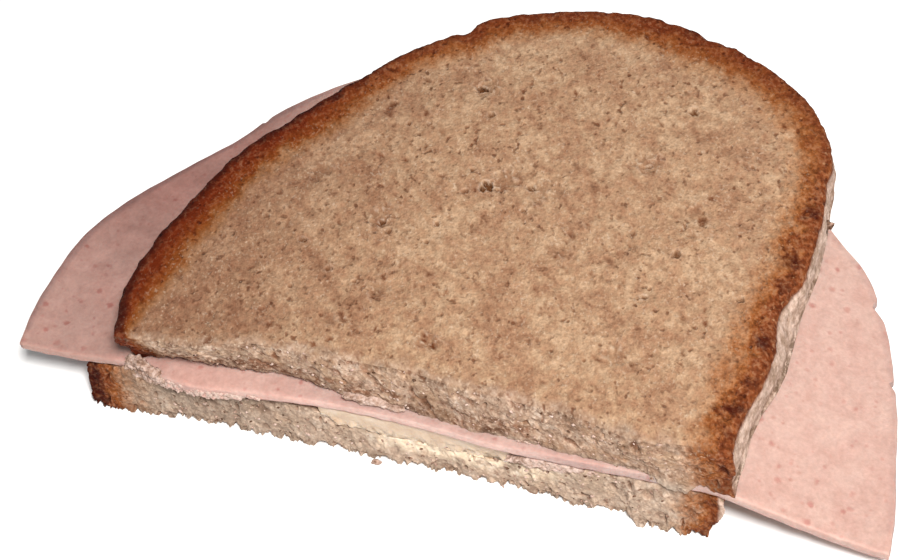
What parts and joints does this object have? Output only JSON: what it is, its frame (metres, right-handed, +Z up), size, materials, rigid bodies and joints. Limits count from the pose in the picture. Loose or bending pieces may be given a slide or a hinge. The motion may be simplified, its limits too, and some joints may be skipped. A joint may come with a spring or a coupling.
{
  "type": "meat and cheese sandwich",
  "caption": "Cut half of a sandwich: dark wheat and rye bread around cheese and a wide round slice of pink sausage that sticks out past the crust.",
  "frame": {"origin": "middle of the sandwich's bounding box, on the table under the lower slice", "axes": "+X along the straight cut, towards the loaf's floury base, +Y from the cut towards the far crust, +Z up"},
  "size_m": [0.127, 0.0744, 0.0211],
  "materials": {
    "lower_bread": "dry, rough, open crumb with a brown crust",
    "cheese": "soft pale yellow, slightly waxy",
    "sausage": "smooth moist pink with fine redder specks",
    "upper_bread": "dry, rough, open crumb with a brown crust"
  },
  "bodies": {
    "root": {"lower_bread": "lower_bread", "cheese_layer": "cheese", "sausage_slice": "sausage", "upper_bread": "upper_bread"}
  },
  "joints": []
}
